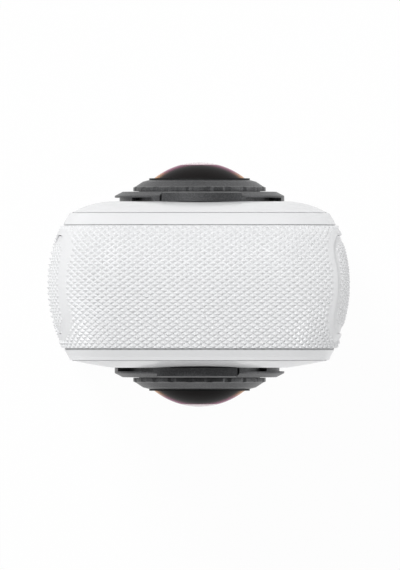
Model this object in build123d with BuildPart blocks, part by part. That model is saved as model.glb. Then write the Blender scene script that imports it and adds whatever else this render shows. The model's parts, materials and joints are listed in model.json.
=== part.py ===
from build123d import *
from math import sqrt
import os

# A pocket camera with a fisheye lens on each face. Millimetres, +Z up.
# The screen side is the front, at -Y. The origin is the middle of the flat base.

# Driving dimensions of the body
width = 46.0
height = 113.8
corner_radius = 11.0
crown_radius = 20.5
base_cut = 2.4
wall = 1.6
floor_thickness = 1.8
overrun = 3.0

# Where the shells part, measured from the middle plane
front_face = 12.6
front_seam = 11.45
front_rim_edge = 9.9
front_band_edge = 9.65
back_face = 12.6
back_seam = 10.84
back_rim_edge = 9.08
back_band_edge = 8.95
cover_inset = 3.7
cover_flat_inset = 9.8
front_cover_bulge = 0.07
back_cover_bulge = 0.41
rim_width = 7.0
rim_corner_drop = 0.55
rim_corner_inset = 0.35
reveal_width = 0.07
reveal_depth = 0.3
front_seal_inset = 0.15
back_seal_inset = 0.42
band_edge_run = 0.9
band_edge_drop = 0.3
back_rim_sink = 0.2

# Clearances
panel_gap = 0.15
slide_gap = 0.3
button_gap = 0.12
snug_gap = 0.05
pin_gap = 0.05

# Side panels and the charging-port door
panel_half_width = 7.5
panel_sink = 0.35
panel_corner = 3.5
panel_top_margin = 4.6
panel_bottom = 10.9
bridge_height = 2.8
door_rise = 7.2
door_hinge_depth = 6.6
door_barrel_radius = 0.8
door_pin_radius = 0.35
door_pin_grip = 1.6
knuckle_bottom = 12.3
knuckle_top = 14.45
door_relief_radius = 1.3
door_nail_notch = 0.9
door_nail_length = 5.0
seal_plug_half_width = 3.0
seal_plug_half_length = 5.5
seal_plug_back = 20.3

# Chassis
chassis_inset = 1.9
chassis_wall = 1.0
chassis_floor = 1.3
partition_thickness = 1.0
web_gap = 1.6
web_thickness = 1.2
front_wall_thickness = 1.0
boss_radius = 1.8
boss_reach = 5.6
screw_radius = 0.8
screw_head_radius = 1.3
screw_head_height = 0.8
screw_length = 6.0
screw_drive_radius = 0.45
screw_drive_depth = 0.4

# Battery and its bay
battery_thickness = 11.2
battery_height = 45.0
battery_length = 35.4
battery_end = 17.0
battery_corner = 1.2
battery_port_gap = 4.4
sleeve_wall = 1.0
sleeve_mouth = 19.7
cover_rise = 9.5
cover_fall = 9.0
cover_plug_start = 22.0
groove_depth = 0.5
groove_width = 0.8
groove_offset = 0.2
battery_seal_gap = 0.1
contact_radius = 0.5
contact_pitch = 4.0
contact_count = 4
contact_length = 2.2

# Latches on the battery cover
latch_width = 5.6
latch_length = 4.2
latch_travel = 2.0
latch_floor = 1.1
latch_stem_width = 2.0
latch_stem_length = 1.6
latch_bolt_thickness = 0.8
latch_bolt_width = 5.0
latch_bolt_margin = 0.2
latch_sink = 0.2
latch_rib_width = 0.5
latch_rib_pitch = 1.1
latch_rib_margin = 0.6
latch_edge_margin = 1.6

# Lens stations, measured outwards from the middle plane, and their radii
lens_drop = 21.0
mount_radius = 12.9
mount_shoulder_radius = 11.7
mount_top = 14.1
mount_shoulder = 13.48
mount_block_top = 13.89
mount_recess_top = 13.2
mount_recess_radius = 11.05
mount_spigot_radius = 10.9
mount_bore = 9.3
mount_bottom = 11.7
mount_lip_radius = 8.6
mount_lip_top = 12.1
lug_groove_radius = 10.25
lug_groove_top = 12.95
mount_block_start = -28.0
mount_block_sweep = 58.0
mount_recess_starts = (-57.0, 33.0)
mount_recess_sweeps = (23.0, 41.0)
mount_shelf_start = -123.0
mount_shelf_sweep = 66.0
mount_shelf_radius = 12.16
mount_slot_sweep = 1.6
mount_slot_depth = 0.7
cover_bore = 11.0
ring_radius = 10.1
ring_bottom = 14.2
ring_shoulder = 14.75
ring_step_radius = 9.65
ring_step = 14.95
ring_brow_radius = 8.6
ring_brow = 15.65
ring_crown_radius = 7.65
ring_crown = 15.9
retainer_top = 16.15
glass_radius = 7.0
glass_seat_radius = 6.2
glass_seat = 15.3
glass_edge_top = 16.1
glass_tip = 18.6
glass_inner_radius = 6.0
glass_inner_tip = 17.4
ring_spigot_radius = 9.2
ring_spigot_end = 12.3
ring_inner_radius = 8.25
lug_radius = 10.1
lug_top = 12.8
lug_angle = 26.0
lug_entry_angle = 32.0
lug_entry_radius = 10.2
lug_count = 3
lens_twist = 30.0
lens_seal_low = 13.3
lens_seal_high = 13.8
lens_seal_depth = 0.4
barrel_radius = 8.0
barrel_top = 14.6
barrel_flange_radius = 10.5
barrel_flange_top = 11.65
barrel_flange_bottom = 10.95
barrel_step = 6.0
barrel_rear_radius = 6.4
barrel_rear = 3.0
barrel_rear_bore = 4.2
barrel_front_bore = 5.3
barrel_front_seat = 12.0
inner_glass_top = 15.6
inner_glass_edge = 14.3
rear_element_thickness = 1.5
rear_element_one = 9.5
rear_element_two = 5.8
sensor_board_side = 15.0
sensor_board_thickness = 1.0
sensor_side = 8.0
sensor_clearance = 0.05

# Screen, buttons and lights on the faces
screen_width = 30.4
screen_bottom = 21.5
screen_lens_gap = 3.7
screen_corner = 3.0
display_width = 28.2
display_margin = 1.0
display_gap = 0.05
button_edge = 0.3
front_button_height = 12.4
shutter_place = 8.0
shutter_radius = 5.2
lens_button_radius = 4.2
front_button_proud = 0.35
front_button_travel = 0.35
button_flange = 0.6
button_flange_thickness = 0.4
button_flange_gap = 0.2
tact_height = 0.4
tact_side = 3.4
button_board_thickness = 0.35
button_board_width = 26.0
button_board_height = 8.0
microphone_place = 11.0
microphone_rise = 2.1
microphone_hole = 0.45
microphone_radius = 1.3
microphone_thickness = 1.0
light_radius = 0.6
light_depth = 2.0

# Side buttons
power_rise = 4.2
quick_fall = 8.3
side_button_width = 4.4
side_button_length = 9.0
side_button_sink = 0.05
side_button_back = 20.4
side_button_flange = 0.5
side_button_flange_thickness = 0.5
side_tact_thickness = 0.6
side_tact_side = 3.0
side_board_back = 18.6
side_board_thickness = 0.8
side_board_half = 3.5
side_board_margin = 5.0

# Base
base_plate_length = 26.0
base_plate_width = 13.0
base_plate_thickness = 1.0
base_plate_corner = 3.0
claw_slot_length = 4.0
claw_slot_width = 1.4
claw_slot_depth = 0.5
claw_slot_place = 10.2
insert_radius = 5.2
insert_height = 8.4
insert_flange_radius = 7.0
insert_flange_thickness = 1.2
thread_radius = 3.2
thread_depth = 7.4
magnet_radius = 2.5
magnet_thickness = 2.0
magnet_place = 10.8

# Charging port
port_height = 18.2
port_board_width = 11.8
port_board_thickness = 0.8
port_board_depth = 9.0
port_rib_thickness = 1.2
port_rib_half_width = 2.8
port_half_length = 4.47
port_half_width = 1.6
port_wall = 0.3
port_mouth = 19.9
port_depth = 7.3
tongue_thickness = 0.7
tongue_half_length = 3.3
tongue_short = 1.2

# Boards and cooling behind the battery
board_half_width = 16.6
board_rise = 1.0
board_fall = 0.5
board_thickness = 0.9
shield_thickness = 1.3
shield_half_width = 13.0
shield_drop = 3.5
shield_lift = 13.5
pad_thickness = 0.4
pad_margin = 3.0
spreader_half_width = 14.5
spreader_rise = 0.5
spreader_lift = 1.5
screen_board_thickness = 0.8
screen_board_half_width = 12.0
screen_board_drop = 5.5
screen_board_lift = 11.5
speaker_place = -10.0
speaker_height = 14.4
speaker_radius = 5.7
speaker_thickness = 3.4
speaker_hole_radius = 0.5
speaker_hole_ring = 2.0
speaker_hole_count = 6

# Memory card, in the ceiling of the battery bay
card_width = 11.0
card_length = 15.0
card_thickness = 1.0
card_start = 6.2
card_front = 3.6
card_gap = 0.15
card_travel = 1.5
socket_wall = 0.4
socket_length = 10.5

# Places worked out from the sizes above
half_width = width / 2
half_span = half_width - corner_radius
corner_top = height - corner_radius
corner_bottom = corner_radius - base_cut
corner_middle = (corner_top + corner_bottom) / 2
side_run = corner_top - corner_bottom
crown_centre = half_width - crown_radius
sleeve_front = battery_thickness / 2 + slide_gap
sleeve_outside = sleeve_front + sleeve_wall
battery_bottom = port_height + port_board_width / 2 + battery_port_gap
battery_top = battery_bottom + battery_height
battery_middle_height = (battery_bottom + battery_top) / 2
sleeve_top = battery_top + slide_gap + sleeve_wall
sleeve_bottom = battery_bottom - slide_gap - sleeve_wall
sleeve_end = battery_end + slide_gap + sleeve_wall
web_bottom = sleeve_top + web_gap
web_top = web_bottom + web_thickness
cover_top = battery_top + cover_rise
cover_bottom = battery_bottom - cover_fall
lens_height = height - lens_drop
screen_top = lens_height - mount_radius - screen_lens_gap
microphone_height = screen_top + microphone_rise
power_height = lens_height + power_rise
quick_height = lens_height - quick_fall
panel_top = height - panel_top_margin
door_top = port_height + door_rise
y_axis = Vector(0, 1, 0)


def crown_reach(inset, v):
    """How far the crowned side reaches from the corner axis, at the depth v."""
    return corner_radius - crown_radius + sqrt((crown_radius - inset) ** 2 - v**2)


def crown_profile(inset, low, high):
    """Draws the crowned side between two depths, closed on the corner axis."""

    def draw():
        middle = (low + high) / 2
        start = (crown_reach(inset, low), low)
        end = (crown_reach(inset, high), high)
        ThreePointArc(start, (crown_reach(inset, middle), middle), end)
        Polyline(end, (0, high), (0, low), start)

    return draw


def band_profile(low, high):
    """Draws the band's crowned side, drawn in beside the back rim."""

    def draw():
        bend = high - band_edge_run
        middle = (low + bend) / 2
        start = (crown_reach(0, low), low)
        turn = (crown_reach(0, bend), bend)
        end = (crown_reach(0, high) - band_edge_drop, high)
        ThreePointArc(start, (crown_reach(0, middle), middle), turn)
        Polyline(turn, end, (0, high), (0, low), start)

    return draw


def straight_profile(inset, low, high):
    """Draws a straight-sided block, drawn in by an inset from the outline."""

    def draw():
        reach = corner_radius - inset
        Polyline((reach, low), (reach, high), (0, high), (0, low), (reach, low))

    return draw


def rim_profile(side, edge, seam, sink):
    """Draws a rim: the crowned side, with the corner beside the cover drawn in."""

    def draw():
        low = side * edge
        bend = side * (seam - rim_corner_drop)
        middle = (low + bend) / 2
        start = (crown_reach(sink, low), low)
        turn = (crown_reach(sink, bend), bend)
        end = (corner_radius - cover_inset + rim_corner_inset, side * seam)
        ThreePointArc(start, (crown_reach(sink, middle), middle), turn)
        Polyline(turn, end, (0, side * seam), (0, low), start)

    return draw


def cover_profile(side, seam, face, bulge):
    """Draws a cover: flat outside, with an edge that curves down to a fine groove at the seam."""

    def draw():
        flat = corner_radius - cover_flat_inset
        edge = corner_radius - cover_inset
        lip = seam + reveal_width
        middle = ((edge + flat) / 2, side * ((lip + face) / 2 + bulge))
        ThreePointArc((edge, side * lip), middle, (flat, side * face))
        groove = (edge - reveal_depth, side * seam)
        Polyline((flat, side * face), (0, side * face), (0, side * seam), groove)
        Polyline(groove, (edge - reveal_depth, side * lip), (edge, side * lip))

    return draw


def wrapped(draw, low, high, floor=0.0):
    """The solid that a profile sweeps round the body's outline, cut flat at the floor."""
    turns = (
        ((half_span, 0, corner_bottom), (1, 0, 0), side_run),
        ((half_span, 0, corner_top), (0, 0, 1), 2 * half_span),
        ((-half_span, 0, corner_top), (-1, 0, 0), side_run),
        ((-half_span, 0, corner_bottom), (0, 0, -1), 2 * half_span),
    )
    with BuildPart() as body:
        with BuildSketch(Plane((0, low, corner_middle), x_dir=(1, 0, 0), z_dir=(0, 1, 0))):
            Rectangle(2 * half_span, side_run)
        extrude(amount=high - low)
        for origin, outward, run in turns:
            along = Vector(outward).cross(y_axis)
            with BuildSketch(Plane(origin, x_dir=outward, z_dir=along)) as section:
                with BuildLine():
                    draw()
                make_face()
            extrude(amount=run)
            revolve(section.sketch.faces(), axis=Axis(origin, (0, 1, 0)), revolution_arc=90)
        split(bisect_by=Plane.XY.offset(floor), keep=Keep.TOP)
    return body.part


def crowned(inset, low, high, floor=0.0):
    """The body's crowned block, drawn in by an inset, between two depths."""
    return wrapped(crown_profile(inset, low, high), low, high, floor)


def span_box(x, y, z, mode=Mode.ADD):
    """A box between two places along each axis."""
    middle = ((x[0] + x[1]) / 2, (y[0] + y[1]) / 2, (z[0] + z[1]) / 2)
    with Locations(middle):
        Box(abs(x[1] - x[0]), abs(y[1] - y[0]), abs(z[1] - z[0]), mode=mode)


def drum_y(x, z, radius, low, high, mode=Mode.ADD):
    """A cylinder along Y between two depths."""
    with Locations(Location((x, (low + high) / 2, z), (90, 0, 0))):
        Cylinder(radius, abs(high - low), mode=mode)


def drum_x(y, z, radius, low, high, mode=Mode.ADD):
    """A cylinder along X between two places."""
    with Locations(Location(((low + high) / 2, y, z), (0, 90, 0))):
        Cylinder(radius, abs(high - low), mode=mode)


def drum_z(x, y, radius, low, high, mode=Mode.ADD):
    """A cylinder along Z between two heights."""
    with Locations((x, y, (low + high) / 2)):
        Cylinder(radius, abs(high - low), mode=mode)


def side_strip(side, low, high, gap):
    """The block that cuts a rounded panel's outline out of one side of the body."""
    half = panel_half_width - gap
    with BuildPart() as strip:
        with BuildSketch(Plane((side * half_span, 0, 0), x_dir=(0, 1, 0), z_dir=(1, 0, 0))):
            with Locations((0, (low + high) / 2)):
                RectangleRounded(2 * half, high - low - 2 * gap, panel_corner - gap)
        extrude(amount=side * (half_width - half_span + overrun))
    return strip.part


def lens_section(side):
    """The plane on which a turned lens piece is drawn: radius along x, distance out along y."""
    return Plane((0, 0, lens_height), x_dir=(side, 0, 0), z_dir=(0, 0, 1))


def lens_axis(side):
    return Axis((0, 0, lens_height), (0, side, 0))


def sector(side, start, sweep, points):
    """Turns a closed outline about a lens axis through part of a circle.

    Angles run from the top, towards the left of someone who looks at that lens from above."""
    with BuildPart() as piece:
        with BuildSketch(lens_section(side)):
            with BuildLine():
                Polyline(*points, close=True)
            make_face()
        revolve(axis=lens_axis(side), revolution_arc=sweep)
    return piece.part.rotate(lens_axis(side), start)


def save(piece, name):
    piece.part.label = name
    export_step(piece.part, f"parts/{name}.step")
    print(name, len(piece.part.solids()), round(piece.part.volume, 1))


os.makedirs("parts", exist_ok=True)

# Outer shells
band_depths = (-front_band_edge, back_band_edge)
outer_block = wrapped(band_profile(*band_depths), *band_depths)
inner_block = crowned(wall, -front_band_edge - overrun, back_band_edge + overrun, floor_thickness)
left_top_bottom = cover_top + bridge_height
left_top_cut = side_strip(-1, left_top_bottom, panel_top, 0)
left_cover_cut = side_strip(-1, cover_bottom, cover_top, 0)
right_cut = side_strip(1, panel_bottom, panel_top, 0)
hinge_reach = crown_radius - door_barrel_radius
hinge_x = crown_centre + sqrt(hinge_reach**2 - door_hinge_depth**2)

with BuildPart() as body_band:
    add(outer_block)
    add(inner_block, mode=Mode.SUBTRACT)
    add(left_top_cut, mode=Mode.SUBTRACT)
    add(left_cover_cut, mode=Mode.SUBTRACT)
    add(right_cut, mode=Mode.SUBTRACT)
    with BuildSketch(Plane.XY):
        pocket = (base_plate_length + 2 * snug_gap, base_plate_width + 2 * snug_gap)
        RectangleRounded(*pocket, base_plate_corner + snug_gap)
    extrude(amount=base_plate_thickness, mode=Mode.SUBTRACT)
    drum_z(0, 0, insert_radius + snug_gap, -overrun, floor_thickness + overrun, mode=Mode.SUBTRACT)
    hinge = (hinge_x, door_hinge_depth)
    drum_z(*hinge, door_relief_radius, knuckle_top, door_top, mode=Mode.SUBTRACT)
    drum_z(*hinge, door_barrel_radius, knuckle_bottom, knuckle_top)
    drum_z(
        hinge_x,
        door_hinge_depth,
        door_pin_radius + pin_gap,
        knuckle_top - door_pin_grip,
        knuckle_top,
        mode=Mode.SUBTRACT,
    )
save(body_band, "body_band")

screw_reach = boss_reach * sqrt(0.5)
screw_places = [
    (sx * (half_span + screw_reach), corner_top + screw_reach) for sx in (-1, 1)
] + [(sx * (half_span + screw_reach), corner_bottom - screw_reach) for sx in (-1, 1)]


def rim(side, edge, seam, sink):
    with BuildPart() as ring:
        add(wrapped(rim_profile(side, edge, seam, sink), side * edge, side * seam))
        inside = (-side * overrun, side * (seam + overrun))
        add(wrapped(straight_profile(rim_width, *inside), *inside, floor_thickness), mode=Mode.SUBTRACT)
        for x, z in screw_places:
            drum_y(x, z, screw_radius + snug_gap, side * edge, side * seam, mode=Mode.SUBTRACT)
            head_seat = seam - screw_head_height - snug_gap
            drum_y(x, z, screw_head_radius + snug_gap, side * head_seat, side * seam, mode=Mode.SUBTRACT)
    return ring


front_rim = rim(-1, front_rim_edge, front_seam, 0)
save(front_rim, "front_rim")
back_rim = rim(1, back_rim_edge, back_seam, back_rim_sink)
save(back_rim, "back_rim")


def edge_seal(low, high, inset):
    """A flat sealing ring between two depths, with holes for the frame screws."""
    with BuildPart() as ring:
        add(crowned(inset, low, high))
        add(
            crowned(chassis_inset + chassis_wall, low - overrun, high + overrun, floor_thickness),
            mode=Mode.SUBTRACT,
        )
        for x, z in screw_places:
            drum_y(x, z, screw_radius + snug_gap, low - overrun, high + overrun, mode=Mode.SUBTRACT)
    return ring


front_seal = edge_seal(-front_rim_edge, -front_band_edge, front_seal_inset)
save(front_seal, "front_seal")
back_seal = edge_seal(back_band_edge, back_rim_edge, back_seal_inset)
save(back_seal, "back_seal")


def face_block(size, middle, corner, near, far):
    """A rounded block that runs along Y between two depths."""
    with BuildPart() as block:
        with BuildSketch(Plane((middle[0], near, middle[1]), x_dir=(1, 0, 0), z_dir=(0, 1, 0))):
            RectangleRounded(*size, corner)
        extrude(amount=far - near)
    return block.part


def face_cover(side, seam, face, bulge):
    """A front or back cover with its lens opening, microphone holes and light hole."""
    through = (side * (seam - overrun), side * (face + overrun))
    with BuildPart() as cover:
        add(wrapped(cover_profile(side, seam, face, bulge), side * seam, side * face))
        drum_y(0, lens_height, cover_bore, *through, mode=Mode.SUBTRACT)
        for x in (-microphone_place, microphone_place):
            drum_y(x, microphone_height, microphone_hole, *through, mode=Mode.SUBTRACT)
        drum_y(0, microphone_height, light_radius + snug_gap, *through, mode=Mode.SUBTRACT)
    return cover.part


screen_size = (screen_width, screen_top - screen_bottom)
screen_middle = (0, (screen_top + screen_bottom) / 2)
window_size = (screen_size[0] + 2 * snug_gap, screen_size[1] + 2 * snug_gap)
front_depths = (-front_seam + overrun, -front_face - overrun)

with BuildPart() as front_cover:
    add(face_cover(-1, front_seam, front_face, front_cover_bulge))
    add(face_block(window_size, screen_middle, screen_corner, *front_depths), mode=Mode.SUBTRACT)
    for x, radius in ((-shutter_place, shutter_radius), (shutter_place, lens_button_radius)):
        drum_y(x, front_button_height, radius + button_gap, *front_depths, mode=Mode.SUBTRACT)
save(front_cover, "front_cover")

with BuildPart() as back_cover:
    add(face_cover(1, back_seam, back_face, back_cover_bulge))
    grille = Location((speaker_place, back_face, speaker_height), (90, 0, 0))
    with Locations(grille):
        Cylinder(speaker_hole_radius, 2 * overrun, mode=Mode.SUBTRACT)
        with PolarLocations(speaker_hole_ring, speaker_hole_count):
            Cylinder(speaker_hole_radius, 2 * overrun, mode=Mode.SUBTRACT)
save(back_cover, "back_cover")

with BuildPart() as screen_glass:
    front_shape = cover_profile(-1, front_seam, front_face, front_cover_bulge)
    add(wrapped(front_shape, -front_seam, -front_face))
    add(face_block(screen_size, screen_middle, screen_corner, *front_depths), mode=Mode.INTERSECT)
save(screen_glass, "screen_glass")

with BuildPart() as display_panel:
    span_box(
        (-display_width / 2, display_width / 2),
        (-front_seam, -front_band_edge - display_gap),
        (screen_bottom + display_margin, screen_top - display_margin),
    )
save(display_panel, "display_panel")

# Side panels, charging-port door and its pin
panel_block = crowned(panel_sink, -front_band_edge, back_band_edge)
panel_shell = panel_block - inner_block
pin_top = door_top + panel_gap + door_pin_grip
pin_bottom = knuckle_top - door_pin_grip


def side_pill(height, grow, near, far):
    """A pill-shaped block along X, for a side button or its hole."""
    with BuildPart() as pill:
        with BuildSketch(Plane((near, 0, height), x_dir=(0, 1, 0), z_dir=(1, 0, 0))):
            SlotOverall(side_button_length + 2 * grow, side_button_width + 2 * grow, rotation=90)
        extrude(amount=far - near)
    return pill.part


with BuildPart() as left_side_panel:
    add(panel_shell)
    add(side_strip(-1, left_top_bottom, panel_top, panel_gap), mode=Mode.INTERSECT)
save(left_side_panel, "left_side_panel")

with BuildPart() as right_side_panel:
    add(panel_shell)
    add(side_strip(1, panel_bottom, panel_top, panel_gap), mode=Mode.INTERSECT)
    split(bisect_by=Plane.XY.offset(door_top + panel_gap), keep=Keep.TOP)
    for place in (power_height, quick_height):
        hole = side_pill(place, button_gap, half_span, half_width + overrun)
        add(hole, mode=Mode.SUBTRACT)
    bore = (door_top - overrun, pin_top + pin_gap)
    drum_z(*hinge, door_pin_radius + pin_gap, *bore, mode=Mode.SUBTRACT)
save(right_side_panel, "right_side_panel")

with BuildPart() as usb_door:
    add(panel_shell)
    add(side_strip(1, panel_bottom, panel_top, panel_gap), mode=Mode.INTERSECT)
    split(bisect_by=Plane.XY.offset(door_top), keep=Keep.BOTTOM)
    span_box(
        (0, half_width + overrun),
        (door_hinge_depth, panel_half_width + overrun),
        (0, height),
        mode=Mode.SUBTRACT,
    )
    drum_z(*hinge, door_relief_radius, 0, knuckle_top + panel_gap, mode=Mode.SUBTRACT)
    drum_z(*hinge, door_barrel_radius, knuckle_top + panel_gap, door_top)
    drum_z(*hinge, door_pin_radius + pin_gap, 0, height, mode=Mode.SUBTRACT)
    span_box(
        (half_span, half_width + overrun),
        (-panel_half_width - overrun, -panel_half_width + door_nail_notch),
        (port_height - door_nail_length / 2, port_height + door_nail_length / 2),
        mode=Mode.SUBTRACT,
    )
save(usb_door, "usb_door")

with BuildPart() as usb_door_pin:
    drum_z(*hinge, door_pin_radius, pin_bottom + pin_gap, pin_top)
save(usb_door_pin, "usb_door_pin")

with BuildPart() as usb_door_seal:
    span_box(
        (seal_plug_back, half_width),
        (-seal_plug_half_width, seal_plug_half_width),
        (port_height - seal_plug_half_length, port_height + seal_plug_half_length),
    )
    add(inner_block, mode=Mode.INTERSECT)
save(usb_door_seal, "usb_door_seal")


def side_button(height):
    """A pill-shaped side button with a flange behind the panel."""
    with BuildPart() as button:
        add(side_pill(height, 0, side_button_back, half_width + overrun))
        sink = panel_sink + side_button_sink
        add(crowned(sink, -front_band_edge, back_band_edge), mode=Mode.INTERSECT)
        flange = (side_button_back, side_button_back + side_button_flange_thickness)
        add(side_pill(height, side_button_flange, *flange))
    return button


save(side_button(power_height), "power_button")
save(side_button(quick_height), "quick_button")

side_board_front = side_board_back + side_board_thickness
with BuildPart() as side_button_board:
    span_box(
        (side_board_back, side_board_front),
        (-side_board_half, side_board_half),
        (quick_height - side_board_margin, power_height + side_board_margin),
    )
save(side_button_board, "side_button_board")

# Front buttons and the switches behind all four buttons
flange_front = front_seam - button_flange_gap
flange_back = flange_front - button_flange_thickness
tact_front = flange_back - front_button_travel - snug_gap


def front_button(x, radius):
    """A round button that stands proud of the front cover, with a flange behind it."""
    with BuildPart() as button:
        drum_y(x, front_button_height, radius, -front_face - front_button_proud, -flange_front)
        fillet(button.edges().group_by(Axis.Y)[0], button_edge)
        drum_y(x, front_button_height, radius + button_flange, -flange_front, -flange_back)
    return button


save(front_button(-shutter_place, shutter_radius), "shutter_button")
save(front_button(shutter_place, lens_button_radius), "lens_switch_button")

with BuildPart() as button_board:
    board_face = tact_front - tact_height
    span_box(
        (-button_board_width / 2, button_board_width / 2),
        (-board_face, -board_face + button_board_thickness),
        (front_button_height - button_board_height / 2, front_button_height + button_board_height / 2),
    )
save(button_board, "button_board")

with BuildPart() as tact_switches:
    for x in (-shutter_place, shutter_place):
        span_box(
            (x - tact_side / 2, x + tact_side / 2),
            (-tact_front, -board_face),
            (front_button_height - tact_side / 2, front_button_height + tact_side / 2),
        )
    for z in (power_height, quick_height):
        span_box(
            (side_board_front, side_board_front + side_tact_thickness),
            (-side_tact_side / 2, side_tact_side / 2),
            (z - side_tact_side / 2, z + side_tact_side / 2),
        )
save(tact_switches, "tact_switches")

with BuildPart() as microphones:
    for x in (-microphone_place, microphone_place):
        drum_y(x, microphone_height, microphone_radius, -front_seam, -front_seam + microphone_thickness)
        drum_y(x, microphone_height, microphone_radius, back_seam, back_seam - microphone_thickness)
save(microphones, "microphones")

with BuildPart() as status_lights:
    drum_y(0, microphone_height, light_radius, -front_face, -front_face + light_depth)
    drum_y(0, microphone_height, light_radius, back_face, back_face - light_depth)
save(status_lights, "status_lights")

with BuildPart() as speaker:
    drum_y(speaker_place, speaker_height, speaker_radius, back_seam - speaker_thickness, back_seam)
save(speaker, "speaker")

# Chassis
chassis_bottom = floor_thickness + snug_gap
chassis_floor_top = chassis_bottom + chassis_floor
chassis_inside = chassis_inset + chassis_wall
inside_depths = (-front_band_edge + front_wall_thickness, back_band_edge + overrun)
card_x = (card_start - card_gap, card_start + card_width + card_gap)
card_y = (card_front - card_gap, card_front + card_thickness + card_gap)
latch_window = (
    -half_width,
    -half_width + wall + 2 * panel_gap + latch_bolt_thickness + slide_gap,
)
latch_window_y = (-latch_bolt_width / 2 - slide_gap, latch_bolt_width / 2 + slide_gap)

with BuildPart() as lower_bay:
    add(crowned(chassis_inside, *inside_depths, chassis_floor_top))
    split(bisect_by=Plane.XY.offset(web_bottom), keep=Keep.BOTTOM)

chassis_block = crowned(chassis_inset, -front_band_edge, back_band_edge, chassis_bottom)

with BuildPart() as main_frame:
    add(chassis_block)
    bay_depths = (-front_band_edge - overrun, back_band_edge + overrun)
    add(crowned(chassis_inside, *bay_depths, web_top), mode=Mode.SUBTRACT)
    add(lower_bay.part, mode=Mode.SUBTRACT)
    add(crowned(chassis_inset, -partition_thickness / 2, partition_thickness / 2, web_bottom))
    for x, z in screw_places:
        drum_y(x, z, boss_radius, -front_band_edge, back_band_edge)
    for z in (
        port_height - port_board_width / 2 - snug_gap - port_rib_thickness / 2,
        port_height + port_board_width / 2 + snug_gap + port_rib_thickness / 2,
    ):
        span_box(
            (port_mouth - port_board_depth, half_width - chassis_inside + chassis_wall / 2),
            (-port_rib_half_width, port_rib_half_width),
            (z - port_rib_thickness / 2, z + port_rib_thickness / 2),
        )
    add(chassis_block, mode=Mode.INTERSECT)
    for x, z in screw_places:
        bored = screw_length + snug_gap
        drum_y(x, z, screw_radius + snug_gap, -front_band_edge, -front_band_edge + bored, mode=Mode.SUBTRACT)
        drum_y(x, z, screw_radius + snug_gap, back_band_edge, back_band_edge - bored, mode=Mode.SUBTRACT)
    span_box(
        (-half_width, -half_span),
        (-sleeve_outside - snug_gap, sleeve_outside + snug_gap),
        (sleeve_bottom - snug_gap, sleeve_top + snug_gap),
        mode=Mode.SUBTRACT,
    )
    span_box(latch_window, latch_window_y, (sleeve_top, cover_top + slide_gap), mode=Mode.SUBTRACT)
    span_box(latch_window, latch_window_y, (cover_bottom - slide_gap, sleeve_bottom), mode=Mode.SUBTRACT)
    span_box(
        (side_board_back - snug_gap, half_width),
        (-side_board_half - snug_gap, side_board_half + snug_gap),
        (quick_height - side_board_margin - snug_gap, power_height + side_board_margin + snug_gap),
        mode=Mode.SUBTRACT,
    )
    span_box(
        (port_mouth - snug_gap, half_width),
        (-seal_plug_half_width - 2 * slide_gap, seal_plug_half_width + 2 * slide_gap),
        (port_height - seal_plug_half_length - slide_gap, port_height + seal_plug_half_length + slide_gap),
        mode=Mode.SUBTRACT,
    )
    span_box(card_x, card_y, (web_bottom, web_top), mode=Mode.SUBTRACT)
    drum_z(0, 0, insert_radius + snug_gap, 0, chassis_floor_top, mode=Mode.SUBTRACT)
save(main_frame, "main_frame")

with BuildPart() as frame_screws:
    for x, z in screw_places:
        for side, edge, seam in ((-1, front_band_edge, front_seam), (1, back_band_edge, back_seam)):
            head = side * (seam - screw_head_height)
            drum_y(x, z, screw_radius, side * (edge - screw_length), head)
            drum_y(x, z, screw_head_radius, head, side * seam)
            drive = side * (seam - screw_drive_depth)
            drum_y(x, z, screw_drive_radius, drive, side * seam, mode=Mode.SUBTRACT)
save(frame_screws, "frame_screws")

# Base
with BuildPart() as base_plate:
    with BuildSketch(Plane.XY):
        RectangleRounded(base_plate_length, base_plate_width, base_plate_corner)
    extrude(amount=base_plate_thickness)
    for x in (-claw_slot_place, claw_slot_place):
        span_box(
            (x - claw_slot_width / 2, x + claw_slot_width / 2),
            (-claw_slot_length / 2, claw_slot_length / 2),
            (0, claw_slot_depth),
            mode=Mode.SUBTRACT,
        )
    drum_z(0, 0, insert_radius + snug_gap, 0, base_plate_thickness, mode=Mode.SUBTRACT)
save(base_plate, "base_plate")

with BuildPart() as tripod_insert:
    drum_z(0, 0, insert_radius, 0, insert_height)
    flange_seat = chassis_floor_top + snug_gap
    drum_z(0, 0, insert_flange_radius, flange_seat, flange_seat + insert_flange_thickness)
    drum_z(0, 0, thread_radius, 0, thread_depth, mode=Mode.SUBTRACT)
save(tripod_insert, "tripod_insert")

with BuildPart() as base_magnets:
    for x in (-magnet_place, magnet_place):
        drum_z(x, 0, magnet_radius, chassis_floor_top, chassis_floor_top + magnet_thickness)
save(base_magnets, "base_magnets")

# Battery bay, battery and its cover
half_battery = battery_thickness / 2
battery_start = battery_end - battery_length

with BuildPart() as battery_sleeve:
    span_box(
        (-sleeve_mouth, sleeve_end),
        (-sleeve_outside, sleeve_outside),
        (sleeve_bottom, sleeve_top),
    )
    span_box(
        (-sleeve_mouth - overrun, battery_end + slide_gap),
        (-sleeve_front, sleeve_front),
        (sleeve_bottom + sleeve_wall, sleeve_top - sleeve_wall),
        mode=Mode.SUBTRACT,
    )
    span_box(card_x, card_y, (battery_top, sleeve_top), mode=Mode.SUBTRACT)
    contact_row = [
        battery_middle_height + contact_pitch * (index - (contact_count - 1) / 2)
        for index in range(contact_count)
    ]
    for z in contact_row:
        drum_x(0, z, contact_radius + snug_gap, battery_end, sleeve_end, mode=Mode.SUBTRACT)
save(battery_sleeve, "battery_sleeve")

with BuildPart() as battery_contacts:
    for z in contact_row:
        drum_x(0, z, contact_radius, battery_end + snug_gap, battery_end + snug_gap + contact_length)
save(battery_contacts, "battery_contacts")

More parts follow.
